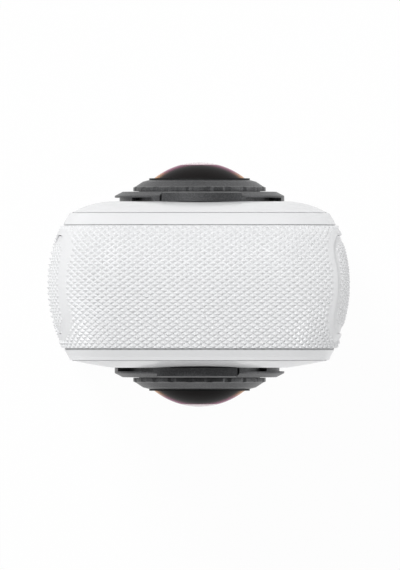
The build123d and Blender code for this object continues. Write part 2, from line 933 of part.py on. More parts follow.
with BuildPart() as battery_pack:
    span_box((battery_start, battery_end), (-half_battery, half_battery), (battery_bottom, battery_top))
    fillet(battery_pack.edges().filter_by(Axis.X), battery_corner)
    span_box(
        (card_x[0] - slide_gap, battery_end),
        (card_y[0] - slide_gap, half_battery),
        (battery_top - card_travel - slide_gap, battery_top),
        mode=Mode.SUBTRACT,
    )
save(battery_pack, "battery_pack")

groove_x = (-sleeve_mouth + groove_offset, -sleeve_mouth + groove_offset + groove_width)


def plug_ring(outer, inner):
    """A rectangular ring round the plug of the battery cover."""
    with BuildPart() as ring:
        span_box(
            groove_x,
            (-half_battery - outer, half_battery + outer),
            (battery_bottom - outer, battery_top + outer),
        )
        span_box(
            groove_x,
            (-half_battery - inner, half_battery + inner),
            (battery_bottom - inner, battery_top + inner),
            mode=Mode.SUBTRACT,
        )
    return ring


latch_ends = ((1, cover_top - latch_edge_margin), (-1, cover_bottom + latch_edge_margin))

with BuildPart() as battery_cover:
    add(panel_shell)
    add(side_strip(-1, cover_bottom, cover_top, panel_gap), mode=Mode.INTERSECT)
    span_box(
        (-cover_plug_start, battery_start),
        (-half_battery, half_battery),
        (battery_bottom, battery_top),
    )
    add(plug_ring(0, -groove_depth).part, mode=Mode.SUBTRACT)
    for way, end in latch_ends:
        stem = end - way * latch_length / 2
        span_box(
            (-half_width - overrun, -half_width + latch_floor),
            (-latch_width / 2 - panel_gap, latch_width / 2 + panel_gap),
            (end + way * panel_gap, end - way * (latch_length + latch_travel + panel_gap)),
            mode=Mode.SUBTRACT,
        )
        span_box(
            (-half_width, -half_width + 2 * wall),
            (-latch_stem_width / 2 - panel_gap, latch_stem_width / 2 + panel_gap),
            (
                stem + way * (latch_stem_length / 2 + panel_gap),
                stem - way * (latch_stem_length / 2 + latch_travel + panel_gap),
            ),
            mode=Mode.SUBTRACT,
        )
save(battery_cover, "battery_cover")

save(plug_ring(slide_gap - battery_seal_gap, -groove_depth), "battery_seal")


def latch(way, end):
    """A sliding latch: a ribbed slider, a stem and a bolt behind the cover."""
    stem = end - way * latch_length / 2
    slider_x = (-half_width, -half_width + latch_floor - panel_gap / 2)
    slider_z = (end, end - way * latch_length)
    bolt_front = -half_width + wall + 2 * panel_gap
    bolt_end = end + way * (latch_edge_margin - latch_bolt_margin)
    with BuildPart() as ribs:
        for index in (-1, 0, 1):
            middle = stem + index * latch_rib_pitch
            span_box(
                slider_x,
                (-latch_width / 2 + latch_rib_margin, latch_width / 2 - latch_rib_margin),
                (middle - latch_rib_width / 2, middle + latch_rib_width / 2),
            )
        add(panel_block, mode=Mode.INTERSECT)
    with BuildPart() as slider:
        span_box(slider_x, (-latch_width / 2, latch_width / 2), slider_z)
        sink = panel_sink + latch_sink
        add(crowned(sink, -front_band_edge, back_band_edge), mode=Mode.INTERSECT)
        add(ribs.part)
        span_box(
            (slider_x[1] - latch_sink, bolt_front),
            (-latch_stem_width / 2, latch_stem_width / 2),
            (stem - latch_stem_length / 2, stem + latch_stem_length / 2),
        )
        span_box(
            (bolt_front, bolt_front + latch_bolt_thickness),
            (-latch_bolt_width / 2, latch_bolt_width / 2),
            (stem - way * latch_stem_length / 2, bolt_end),
        )
    return slider


save(latch(*latch_ends[0]), "upper_latch")
save(latch(*latch_ends[1]), "lower_latch")

# Memory card and its socket, above the battery bay
card_bottom = sleeve_top - sleeve_wall + card_gap
socket_bottom = web_top + snug_gap

with BuildPart() as memory_card:
    span_box(
        (card_start, card_start + card_width),
        (card_front, card_front + card_thickness),
        (card_bottom, card_bottom + card_length),
    )
save(memory_card, "memory_card")

with BuildPart() as card_socket:
    span_box(
        (card_x[0] - socket_wall, card_x[1] + socket_wall),
        (card_y[0] - socket_wall, card_y[1] + socket_wall),
        (socket_bottom, socket_bottom + socket_length),
    )
    span_box(card_x, card_y, (socket_bottom, card_bottom + card_length + card_gap), mode=Mode.SUBTRACT)
save(card_socket, "card_socket")

# Charging port and its board
port_back = port_mouth - port_depth

with BuildPart() as usb_port:
    with BuildSketch(Plane((port_back, 0, port_height), x_dir=(0, 1, 0), z_dir=(1, 0, 0))):
        RectangleRounded(2 * port_half_width, 2 * port_half_length, port_half_width - snug_gap)
    extrude(amount=port_depth)
    with BuildSketch(Plane((port_back + port_wall, 0, port_height), x_dir=(0, 1, 0), z_dir=(1, 0, 0))):
        inside = (2 * (port_half_width - port_wall), 2 * (port_half_length - port_wall))
        RectangleRounded(*inside, port_half_width - port_wall - snug_gap)
    extrude(amount=port_depth, mode=Mode.SUBTRACT)
save(usb_port, "usb_port")

with BuildPart() as usb_tongue:
    span_box(
        (port_back + port_wall, port_mouth - tongue_short),
        (-tongue_thickness / 2, tongue_thickness / 2),
        (port_height - tongue_half_length, port_height + tongue_half_length),
    )
save(usb_tongue, "usb_tongue")

with BuildPart() as port_board:
    span_box(
        (port_mouth - port_board_depth, port_mouth - port_wall),
        (port_half_width, port_half_width + port_board_thickness),
        (port_height - port_board_width / 2, port_height + port_board_width / 2),
    )
save(port_board, "port_board")

# Boards and cooling between the battery bay and the covers
board_front = sleeve_outside + snug_gap
board_back = board_front + board_thickness
shield_back = board_back + shield_thickness
board_bottom = battery_bottom - board_fall
board_top = battery_top + board_rise
shield_bottom = battery_bottom + shield_lift
shield_top = battery_top - shield_drop

with BuildPart() as main_board:
    span_box((-board_half_width, board_half_width), (board_front, board_back), (board_bottom, board_top))
save(main_board, "main_board")

with BuildPart() as processor_shield:
    span_box(
        (-shield_half_width, shield_half_width),
        (board_back, shield_back),
        (shield_bottom, shield_top),
    )
save(processor_shield, "processor_shield")

with BuildPart() as thermal_pad:
    span_box(
        (-shield_half_width + pad_margin, shield_half_width - pad_margin),
        (shield_back, shield_back + pad_thickness),
        (shield_bottom + pad_margin, shield_top - pad_margin),
    )
save(thermal_pad, "thermal_pad")

with BuildPart() as heat_spreader:
    span_box(
        (-spreader_half_width, spreader_half_width),
        (shield_back + pad_thickness, back_seam),
        (battery_bottom + spreader_lift, battery_top + spreader_rise),
    )
save(heat_spreader, "heat_spreader")

with BuildPart() as screen_board:
    board_near = front_band_edge - front_wall_thickness
    span_box(
        (-screen_board_half_width, screen_board_half_width),
        (-board_near, -board_near + screen_board_thickness),
        (battery_bottom + screen_board_lift, battery_top - screen_board_drop),
    )
save(screen_board, "screen_board")


# Lenses
def turned(side, points):
    """A ring turned about a lens axis from its outline."""
    with BuildPart() as ring:
        with BuildSketch(lens_section(side)):
            with BuildLine():
                Polyline(*points, close=True)
            make_face()
        revolve(axis=lens_axis(side))
    return ring.part


def mount_ring(side):
    """The fixed bayonet ring on a cover, with its grip blocks, recesses and lug entries."""
    outline = (
        (mount_bore, mount_top),
        (mount_shoulder_radius, mount_top),
        (mount_radius, mount_block_top),
        (mount_radius, front_face),
        (mount_spigot_radius, front_face),
        (mount_spigot_radius, mount_bottom),
        (mount_lip_radius, mount_bottom),
        (mount_lip_radius, mount_lip_top),
        (lug_groove_radius, mount_lip_top),
        (lug_groove_radius, lug_groove_top),
        (mount_bore, lug_groove_top),
    )
    entry = (
        (mount_bore - snug_gap, lug_groove_top - snug_gap),
        (lug_entry_radius, lug_groove_top - snug_gap),
        (lug_entry_radius, mount_top + snug_gap),
        (mount_bore - snug_gap, mount_top + snug_gap),
    )
    fall = (mount_top - mount_shoulder) / (mount_radius - mount_shoulder_radius)
    slope = (
        (mount_shoulder_radius, mount_top),
        (mount_shoulder_radius, mount_top + overrun),
        (mount_radius + overrun, mount_top + overrun),
        (mount_radius + overrun, mount_shoulder - overrun * fall),
    )
    recess = (
        (mount_recess_radius, front_face),
        (mount_radius + overrun, front_face),
        (mount_radius + overrun, mount_recess_top),
        (mount_recess_radius, mount_recess_top),
    )
    shelf = (
        (mount_shelf_radius, front_face),
        (mount_radius + overrun, front_face),
        (mount_radius + overrun, mount_recess_top),
        (mount_shelf_radius, mount_recess_top),
    )
    slot = (
        (mount_radius - mount_slot_depth, front_face + snug_gap),
        (mount_radius + overrun, front_face + snug_gap),
        (mount_radius + overrun, mount_top + overrun),
        (mount_radius - mount_slot_depth, mount_top + overrun),
    )
    with BuildPart() as ring:
        add(turned(side, outline))
        for index in range(lug_count):
            start = index * 360 / lug_count + lens_twist - lug_entry_angle / 2
            add(sector(side, start, lug_entry_angle, entry), mode=Mode.SUBTRACT)
        for half in (0, 180):
            slope_start = half - 90 + mount_block_start + mount_block_sweep
            add(sector(side, slope_start, 180 - mount_block_sweep, slope), mode=Mode.SUBTRACT)
            for start, sweep in zip(mount_recess_starts, mount_recess_sweeps):
                add(sector(side, half - 90 + start, sweep, recess), mode=Mode.SUBTRACT)
            slot_start = half - 90 + mount_block_start
            add(sector(side, slot_start, mount_slot_sweep, slot), mode=Mode.SUBTRACT)
        add(sector(side, mount_shelf_start - 90, mount_shelf_sweep, shelf), mode=Mode.SUBTRACT)
    return ring


def lens_ring(side):
    """The twist-off ring that holds the outer glass, with three lugs."""
    outline = (
        (ring_inner_radius, ring_spigot_end),
        (ring_spigot_radius, ring_spigot_end),
        (ring_spigot_radius, lens_seal_low),
        (ring_spigot_radius - lens_seal_depth, lens_seal_low),
        (ring_spigot_radius - lens_seal_depth, lens_seal_high),
        (ring_spigot_radius, lens_seal_high),
        (ring_spigot_radius, ring_bottom),
        (ring_radius, ring_bottom),
        (ring_radius, ring_shoulder),
        (ring_step_radius, ring_step),
        (ring_brow_radius, ring_brow),
        (ring_crown_radius, ring_crown),
        (ring_crown_radius, retainer_top),
        (glass_radius + snug_gap, retainer_top),
        (glass_radius + snug_gap, glass_seat),
        (glass_seat_radius, glass_seat),
        (glass_seat_radius, ring_shoulder),
        (ring_inner_radius, ring_shoulder),
    )
    lug = (
        (ring_spigot_radius - snug_gap, ring_spigot_end),
        (lug_radius, ring_spigot_end),
        (lug_radius, lug_top),
        (ring_spigot_radius - snug_gap, lug_top),
    )
    with BuildPart() as ring:
        add(turned(side, outline))
        for index in range(lug_count):
            add(sector(side, index * 360 / lug_count - lug_angle / 2, lug_angle, lug))
    return ring


def dome_middle(radius, base, tip):
    """A point half-way along the arc of a dome that meets its axis at the tip."""
    rise = tip - base
    bend = (radius**2 + rise**2) / (2 * rise)
    return (radius / 2, tip - bend + sqrt(bend**2 - (radius / 2) ** 2))


def lens_glass(side):
    """The domed outer glass, hollow behind."""
    seat = glass_seat
    with BuildPart() as dome:
        with BuildSketch(lens_section(side)):
            with BuildLine():
                outside = dome_middle(glass_radius, glass_edge_top, glass_tip)
                inside = dome_middle(glass_inner_radius, seat, glass_inner_tip)
                ThreePointArc((0, glass_tip), outside, (glass_radius, glass_edge_top))
                Polyline((glass_radius, glass_edge_top), (glass_radius, seat), (glass_inner_radius, seat))
                ThreePointArc((glass_inner_radius, seat), inside, (0, glass_inner_tip))
                Line((0, glass_inner_tip), (0, glass_tip))
            make_face()
        revolve(axis=lens_axis(side))
    return dome


def lens_seal(side):
    """The sealing ring in the spigot's groove."""
    with BuildPart() as ring:
        groove = ring_spigot_radius - lens_seal_depth
        outline = (
            (groove, lens_seal_low),
            (mount_bore - snug_gap, lens_seal_low),
            (mount_bore - snug_gap, lens_seal_high),
            (groove, lens_seal_high),
        )
        add(turned(side, outline))
    return ring


def lens_barrel(side):
    """The fixed inner barrel behind the outer glass."""
    outline = (
        (barrel_front_bore, barrel_top),
        (barrel_radius, barrel_top),
        (barrel_radius, barrel_flange_top),
        (barrel_flange_radius, barrel_flange_top),
        (barrel_flange_radius, barrel_flange_bottom),
        (barrel_radius, barrel_flange_bottom),
        (barrel_radius, barrel_step),
        (barrel_rear_radius, barrel_step),
        (barrel_rear_radius, barrel_rear),
        (barrel_rear_bore, barrel_rear),
        (barrel_rear_bore, barrel_front_seat),
        (barrel_front_bore, barrel_front_seat),
    )
    with BuildPart() as barrel:
        add(turned(side, outline))
    return barrel


def inner_glass(side):
    """The elements inside a barrel: a domed one in front and two behind it."""
    front_radius = barrel_front_bore
    with BuildPart() as elements:
        with BuildSketch(lens_section(side)):
            with BuildLine():
                middle = dome_middle(front_radius, inner_glass_edge, inner_glass_top)
                ThreePointArc((0, inner_glass_top), middle, (front_radius, inner_glass_edge))
                Polyline(
                    (front_radius, inner_glass_edge),
                    (front_radius, barrel_front_seat),
                    (0, barrel_front_seat),
                    (0, inner_glass_top),
                )
            make_face()
        revolve(axis=lens_axis(side))
        for start in (rear_element_one, rear_element_two):
            near = side * start
            drum_y(0, lens_height, barrel_rear_bore, near, near + side * rear_element_thickness)
    return elements


for side, name in ((-1, "front"), (1, "back")):
    save(mount_ring(side), f"{name}_mount_ring")
    save(lens_ring(side), f"{name}_lens_ring")
    save(lens_glass(side), f"{name}_lens_glass")
    save(lens_seal(side), f"{name}_lens_seal")
    save(lens_barrel(side), f"{name}_lens_barrel")
    save(inner_glass(side), f"{name}_inner_glass")

with BuildPart() as sensor_boards:
    for side in (-1, 1):
        near = partition_thickness / 2 + sensor_clearance
        face = near + sensor_board_thickness
        span_box(
            (-sensor_board_side / 2, sensor_board_side / 2),
            (side * near, side * face),
            (lens_height - sensor_board_side / 2, lens_height + sensor_board_side / 2),
        )
        span_box(
            (-sensor_side / 2, sensor_side / 2),
            (side * face, side * (barrel_rear - sensor_clearance)),
            (lens_height - sensor_side / 2, lens_height + sensor_side / 2),
        )
save(sensor_boards, "sensor_boards")
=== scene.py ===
# %% [markdown]
# # A pocket 360 degree camera
# The camera is a slim white body with a fisheye lens on each face. A band with a moulded diamond
# grip runs round its sides, two smooth rims join it to the face covers, and each lens sits in a
# grey bayonet ring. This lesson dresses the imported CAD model, which stays where it is: every new
# piece is placed in the same frame, in metres, and rides on one of its bodies.

import json
import math

import bmesh
import bpy
import numpy as np
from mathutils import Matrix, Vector


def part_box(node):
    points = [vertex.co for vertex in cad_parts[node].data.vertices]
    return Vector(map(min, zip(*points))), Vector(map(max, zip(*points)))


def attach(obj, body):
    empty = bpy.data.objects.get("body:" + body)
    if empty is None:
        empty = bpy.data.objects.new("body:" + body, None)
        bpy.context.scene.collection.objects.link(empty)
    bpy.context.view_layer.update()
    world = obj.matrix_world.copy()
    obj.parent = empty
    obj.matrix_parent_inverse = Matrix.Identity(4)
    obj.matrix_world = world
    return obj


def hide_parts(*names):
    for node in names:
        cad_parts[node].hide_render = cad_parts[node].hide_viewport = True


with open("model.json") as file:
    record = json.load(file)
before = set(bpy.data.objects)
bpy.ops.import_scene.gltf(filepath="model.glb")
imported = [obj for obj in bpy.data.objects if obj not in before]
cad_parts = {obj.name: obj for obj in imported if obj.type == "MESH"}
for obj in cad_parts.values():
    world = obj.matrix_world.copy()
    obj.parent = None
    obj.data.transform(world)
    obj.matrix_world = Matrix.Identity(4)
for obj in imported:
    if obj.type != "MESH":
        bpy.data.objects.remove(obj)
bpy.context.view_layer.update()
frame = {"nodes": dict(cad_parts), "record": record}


MM = 0.001

# %% [markdown]
# ## Shader maths as plain expressions
# A procedural finish is arithmetic on noise and position. Wiring Math nodes by hand is slow to
# read, so one small class wraps a socket and lets Python's operators add the nodes.


# %% A socket that does arithmetic
class Signal:
    """A number that changes over a surface."""

    def __init__(self, finish, socket):
        self.finish = finish
        self.socket = socket

    def _math(self, operation, *values):
        inputs = dict(enumerate(values))
        return self.finish.node("ShaderNodeMath", {"operation": operation}, inputs)

    def __add__(self, other):
        return self._math("ADD", self, other)

    __radd__ = __add__

    def __mul__(self, other):
        return self._math("MULTIPLY", self, other)

    __rmul__ = __mul__

    def __sub__(self, other):
        return self._math("SUBTRACT", self, other)

    def __rsub__(self, other):
        return self._math("SUBTRACT", other, self)

    def __truediv__(self, other):
        return self._math("DIVIDE", self, other)

    def smooth(self, low, high):
        """0 below low, 1 above high, with a soft step between."""
        step = {"interpolation_type": "SMOOTHSTEP"}
        inputs = {"Value": self, "From Min": low, "From Max": high}
        return self.finish.node("ShaderNodeMapRange", step, inputs)


class Finish:
    """One material, built node by node."""

    def __init__(self, name):
        self.material = bpy.data.materials.new(name)
        self.material.use_nodes = True
        self.tree = self.material.node_tree
        self.surface = next(n for n in self.tree.nodes if n.type == "BSDF_PRINCIPLED")

    def feed(self, socket, value):
        """Links a signal to a socket, or sets a plain value."""
        if isinstance(value, Signal):
            self.tree.links.new(value.socket, socket)
        else:
            socket.default_value = value

    def node(self, kind, settings=None, inputs=None, output=0):
        """Adds a node and gives back one of its outputs as a signal."""
        made = self.tree.nodes.new(kind)
        for key, value in (settings or {}).items():
            setattr(made, key, value)
        for key, value in (inputs or {}).items():
            self.feed(made.inputs[key], value)
        return Signal(self, made.outputs[output])

    def place(self):
        """Where a point is on the object, in metres."""
        return self.node("ShaderNodeTexCoord", output="Object")

    def distance_out(self):
        """How far a point is from the middle plane, along the lens axis."""
        spot = self.node("ShaderNodeSeparateXYZ", None, {"Vector": self.place()}, "Y")
        return self.node("ShaderNodeMath", {"operation": "ABSOLUTE"}, {0: spot})

    def noise(self, scale, detail=2.0):
        """Cloudy values round 0.5."""
        inputs = {"Vector": self.place(), "Scale": scale, "Detail": detail}
        return self.node("ShaderNodeTexNoise", None, inputs, "Fac")

    def blend(self, share, first, second):
        """A colour between two, by share."""
        made = self.tree.nodes.new("ShaderNodeMix")
        made.data_type = "RGBA"
        self.feed(made.inputs["Factor"], share)
        colours = [socket for socket in made.inputs if socket.type == "RGBA"]
        self.feed(colours[0], first)
        self.feed(colours[1], second)
        return Signal(self, next(s for s in made.outputs if s.type == "RGBA"))

    def bump(self, height, distance, strength):
        """A relief too fine to model."""
        inputs = {"Height": height, "Distance": distance, "Strength": strength}
        relief = self.node("ShaderNodeBump", None, inputs, "Normal")
        self.feed(self.surface.inputs["Normal"], relief)

    def set(self, **values):
        """Feeds the surface's inputs by name, with _ for a space."""
        for name, value in values.items():
            self.feed(self.surface.inputs[name.replace("_", " ")], value)
        return self


def rgba(red, green, blue):
    """An opaque colour."""
    return (red, green, blue, 1.0)


# %% [markdown]
# ## Finishes
# Moulded plastic is never one flat colour: it has a fine orange-peel or spark-eroded grain, and
# its gloss drifts a little across a face. One recipe makes all the moulded, coated and plated
# finishes, with the grain's scale and depth as its inputs.

# %% One recipe for moulded and plated surfaces
GRAIN_DISTANCE = 0.03 * MM
MOULD_COAT_ROUGHNESS = 0.12


def grained(name, light, dark, roughness, metallic=0.0, grain=2500.0, depth=0.15, coat=0.0):
    """A finish with cloudy colour, drifting gloss and a fine grain."""
    finish = Finish(name)
    cloud = finish.noise(60.0, 3.0)
    speck = finish.noise(grain)
    finish.set(
        Base_Color=finish.blend(cloud * 0.6 + speck * 0.4, rgba(*dark), rgba(*light)),
        Roughness=roughness + (cloud - 0.5) * 0.08 + (speck - 0.5) * 0.06,
        Metallic=metallic,
        Coat_Weight=coat,
    )
    finish.surface.inputs["Coat Roughness"].default_value = MOULD_COAT_ROUGHNESS
    finish.bump(speck, GRAIN_DISTANCE, depth)
    return finish.material


finishes = {
    "white_textured": grained(
        "White grip", (0.9, 0.905, 0.915), (0.84, 0.845, 0.855), 0.42, depth=0.1
    ),
    "white_satin": grained(
        "White satin", (0.9, 0.905, 0.915), (0.86, 0.865, 0.875), 0.36, depth=0.1, coat=0.35
    ),
    "seal_rubber": grained(
        "Seal rubber", (0.09, 0.09, 0.095), (0.05, 0.05, 0.055), 0.75, depth=0.3
    ),
    "display_black": grained(
        "Display black", (0.014, 0.014, 0.016), (0.01, 0.01, 0.011), 0.25, depth=0.05
    ),
    "barrel_black": grained(
        "Barrel black", (0.014, 0.013, 0.014), (0.007, 0.007, 0.008), 0.7, depth=0.4
    ),
    "button_grey": grained("Button grey", (0.34, 0.35, 0.36), (0.28, 0.29, 0.3), 0.45, depth=0.2),
    "latch_orange": grained(
        "Latch orange", (0.83, 0.25, 0.05), (0.74, 0.2, 0.035), 0.42, depth=0.2
    ),
    "frame_metal": grained(
        "Cast frame", (0.6, 0.61, 0.63), (0.45, 0.46, 0.48), 0.5, 0.9, 1400.0, 0.4
    ),
    "dark_plastic": grained(
        "Dark plastic", (0.055, 0.055, 0.06), (0.035, 0.035, 0.038), 0.55, depth=0.35
    ),
    "steel": grained("Plated steel", (0.68, 0.68, 0.7), (0.56, 0.56, 0.58), 0.3, 1.0, 1800.0, 0.12),
    "gold_brass": grained(
        "Gold plate", (0.86, 0.62, 0.26), (0.76, 0.52, 0.2), 0.28, 1.0, 1800.0, 0.1
    ),
    "light_pipe": grained(
        "Milky light pipe", (0.82, 0.86, 0.86), (0.74, 0.79, 0.8), 0.3, depth=0.05, coat=0.4
    ),
    "board_green": grained(
        "Solder mask", (0.02, 0.2, 0.09), (0.012, 0.12, 0.06), 0.35, depth=0.2, coat=0.3
    ),
    "spreader_metal": grained(
        "Heat spreader", (0.66, 0.66, 0.68), (0.56, 0.56, 0.58), 0.38, 1.0, 900.0, 0.2
    ),
}
print("moulded and plated finishes:", len(finishes))

# %% [markdown]
# The lens rings are blasted and anodised dark grey, which sparkles a little in the light, and the
# lip round the glass is painted black. The screen is a black print behind glass, so its gloss is
# all in the coat.

# %% Lens ring and screen
LIP_INNER = 15.88 * MM
LIP_OUTER = 15.94 * MM
BLAST_DISTANCE = 0.05 * MM
GLASS_COAT_ROUGHNESS = 0.03


def ring_grey():
    """Blasted grey metal with a black lip at its outer end."""
    finish = Finish("Lens ring grey")
    blast = finish.noise(5200.0, 1.0)
    cloud = finish.noise(300.0, 2.0)
    lip = finish.distance_out().smooth(LIP_INNER, LIP_OUTER)
    tone = blast.smooth(0.35, 0.7) * 0.7 + cloud * 0.3
    grey = finish.blend(tone, rgba(0.042, 0.043, 0.045), rgba(0.086, 0.087, 0.091))
    finish.set(
        Base_Color=finish.blend(lip, grey, rgba(0.006, 0.006, 0.006)),
        Roughness=0.46 - blast * 0.12 + lip * 0.3,
        Metallic=0.35,
    )
    finish.bump(blast, BLAST_DISTANCE, 0.35)
    return finish.material


def screen_black():
    """A black print under clear glass."""
    finish = Finish("Screen glass")
    cloud = finish.noise(90.0, 2.0)
    finish.set(
        Base_Color=finish.blend(cloud, rgba(0.008, 0.008, 0.01), rgba(0.014, 0.014, 0.017)),
        Roughness=0.08 + cloud * 0.04,
        Coat_Weight=1.0,
    )
    finish.surface.inputs["Coat Roughness"].default_value = GLASS_COAT_ROUGHNESS
    return finish.material


finishes["lens_ring_grey"] = ring_grey()
finishes["screen_glass"] = screen_black()
print("ring and screen:", finishes["lens_ring_grey"].name, "and", finishes["screen_glass"].name)

# %% [markdown]
# The outer glass is a deep dome over a black barrel. Seen from the side it is nearly black. Where
# the glass turns away from the camera, its base colour carries a painted reflection: a magenta tint
# towards its tip and a warm orange one at its foot stand for the coloured reflection of its
# coating, both following the distance out along the lens axis. The tip has a painted pale pink
# reflection.

# %% Coated glass with a painted reflection
GLASS_FOOT = 16.1 * MM
GLASS_TIP = 18.6 * MM
GLASS_IOR = 1.1
# Colours of the painted reflection on the glass: amber and magenta for the coating's tint, pale
# pink for the tip's painted reflection of the white floor.
AMBER = rgba(0.75, 0.32, 0.09)
MAGENTA = rgba(0.34, 0.03, 0.15)
TIP_REFLECTION_PINK = rgba(0.97, 0.85, 0.88)


def coated_glass():
    """Dark glass with a painted coloured reflection where it turns away from the camera."""
    finish = Finish("Coated lens glass")
    height = (finish.distance_out() - GLASS_FOOT) / (GLASS_TIP - GLASS_FOOT)
    ripple = finish.noise(220.0, 1.0)
    # Layer Weight marks where the glass turns away from the camera; there the base colour is a
    # painted reflection, amber to magenta by height and pale pink at the tip.
    facing = finish.node("ShaderNodeLayerWeight", None, {"Blend": 0.5}, "Facing")
    tip = height.smooth(0.8, 0.88)
    soft_reflection_edge = facing.smooth(0.66, 0.93)
    reflection_mask = soft_reflection_edge + (facing.smooth(0.66, 0.72) - soft_reflection_edge) * tip
    painted_reflection = finish.blend(height.smooth(0.1, 0.5), AMBER, MAGENTA)
    painted_reflection = finish.blend(tip, painted_reflection, TIP_REFLECTION_PINK)
    tone = finish.blend(ripple, rgba(0.008, 0.007, 0.007), rgba(0.016, 0.014, 0.014))
    finish.set(Base_Color=finish.blend(reflection_mask, tone, painted_reflection), Roughness=0.03 + ripple * 0.02)
    finish.surface.inputs["IOR"].default_value = GLASS_IOR
    return finish.material


finishes["lens_glass"] = coated_glass()
print("coating runs from", round(GLASS_FOOT / MM, 1), "to", round(GLASS_TIP / MM, 1), "mm out")

# %% [markdown]
# ## Finishes on the parts
# The record names a finish for every part. The two seals between the band and the rims are the
# exception: they are a paler rubber than the seals inside, so the seams read as fine grey lines.

# %% Dress the CAD nodes
slot_of = {part["node"]: part["material_slot"] for part in frame["record"]["subparts"]}
pale_seal = grained("Pale seal", (0.5, 0.505, 0.51), (0.42, 0.425, 0.43), 0.7, depth=0.3)
for name, cad_piece in frame["nodes"].items():
    cad_piece.data.materials.clear()
    pale = name in ("front_seal", "back_seal")
    cad_piece.data.materials.append(pale_seal if pale else finishes[slot_of[name]])
print("finishes:", len(finishes), "on", len(slot_of), "nodes")

# %% [markdown]
# ## Geometry Nodes helpers
# What repeats is made by Geometry Nodes: a small tree with named inputs, run once, and turned into
# a plain mesh. These helpers build a tree, set its inputs by their identifiers and read the result.


# %% Build and run a node tree
class Tree:
    """A geometry tree with named inputs."""

    def __init__(self, name, **inputs):
        self.group = bpy.data.node_groups.new(name, "GeometryNodeTree")
        face = self.group.interface
        face.new_socket("Geometry", in_out="INPUT", socket_type="NodeSocketGeometry")
        face.new_socket("Geometry", in_out="OUTPUT", socket_type="NodeSocketGeometry")
        for label, kind in inputs.items():
            face.new_socket(label, in_out="INPUT", socket_type="NodeSocket" + kind)
        self.source = self.group.nodes.new("NodeGroupInput")
        self.end = self.group.nodes.new("NodeGroupOutput")

    def node(self, kind, settings=None, inputs=None):
        """Adds a node, with links for sockets and defaults for plain values."""
        made = self.group.nodes.new(kind)
        for key, value in (settings or {}).items():
            setattr(made, key, value)
        for key, value in (inputs or {}).items():
            if isinstance(value, bpy.types.NodeSocket):
                self.group.links.new(value, made.inputs[key])
            else:
                made.inputs[key].default_value = value
        return made

    def close(self, geometry):
        """Realize Instances and Set Material end every tree."""
        real = self.node("GeometryNodeRealizeInstances", None, {"Geometry": geometry})
        inputs = {"Geometry": real.outputs[0], "Material": self.source.outputs["Material"]}
        dressed = self.node("GeometryNodeSetMaterial", None, inputs)
        self.group.links.new(dressed.outputs[0], self.end.inputs[0])

    def run(self, obj, **values):
        """Runs the tree on an object and leaves a plain mesh."""
        modifier = obj.modifiers.new(self.group.name, "NODES")
        modifier.node_group = self.group
        ids = {s.name: s.identifier for s in self.group.interface.items_tree if s.in_out == "INPUT"}
        for label, value in values.items():
            modifier[ids[label]] = value
        shape = obj.evaluated_get(bpy.context.evaluated_depsgraph_get())
        made = bpy.data.meshes.new_from_object(shape)
        obj.modifiers.remove(modifier)
        obj.data = made
        return obj


def new_piece(name, points, faces):
    """A new object at the origin, from points and faces."""
    mesh = bpy.data.meshes.new(name)
    mesh.from_pydata([tuple(point) for point in points], [], faces)
    obj = bpy.data.objects.new(name, mesh)
    bpy.context.scene.collection.objects.link(obj)
    return obj


print("Geometry Nodes helpers are ready")

# %% [markdown]
# ## The diamond grip
# The sides are moulded with small four-sided studs, 1.34 mm along the side and 0.88 mm across it.
# They are cut off at the rims' seams and fade out before each panel's edge. The real tool is cut
# by a machine that follows the crowned side, so here each diamond is laid out on the flat band,
# as a distance along the outline and a depth, and then bent onto the body. Geometry Nodes raise
# each diamond into a stud.

# %% Sizes of the body, read from the frame
low_corner, high_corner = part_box("body_band")
HALF_WIDTH = high_corner.x
TOP = high_corner.z
FRONT_EDGE, BACK_EDGE = low_corner.y, high_corner.y
CORNER = 11.0 * MM
CROWN = 20.5 * MM
CORNER_BOTTOM = 8.6 * MM
BASE_SMOOTH = 1.2 * MM
EDGE_RUN = 0.9 * MM
EDGE_DROP = 0.3 * MM
STUD_LONG = 1.344 * MM
STUD_SHORT = 0.876 * MM
BAND_STUD = 0.28 * MM
PANEL_STUD = 0.18 * MM
PANEL_SINK = HALF_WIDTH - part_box("right_side_panel")[1].x
STUD_TOP = 0.12
STUD_SINK = 0.04 * MM
STUD_SHARE = 0.97
CUT_EDGE = 0.12 * MM
LEAST_HEIGHT = 0.12
LEAST_SPREAD = 0.08 * MM
half_flat = HALF_WIDTH - CORNER
corner_top = TOP - CORNER
side_length = corner_top - CORNER_BOTTOM
quarter = CORNER * math.pi / 2
reach = half_flat + quarter + side_length + CORNER * math.asin(CORNER_BOTTOM / CORNER)
print("band runs", round(reach / MM, 1), "mm each way from the middle of the top")

# %% [markdown]
# The outline runs from the middle of the top, round a corner, down a side and round the corner at
# the base. The side is crowned, so it drops away from its middle line, and drops a little more
# next to the back rim.


# %% Bend the flat band onto the body
def on_corner(angle, height):
    """A point on a rounded corner of the right side, whose centre is at a height."""
    return Vector((half_flat + CORNER * math.cos(angle), 0, height + CORNER * math.sin(angle)))


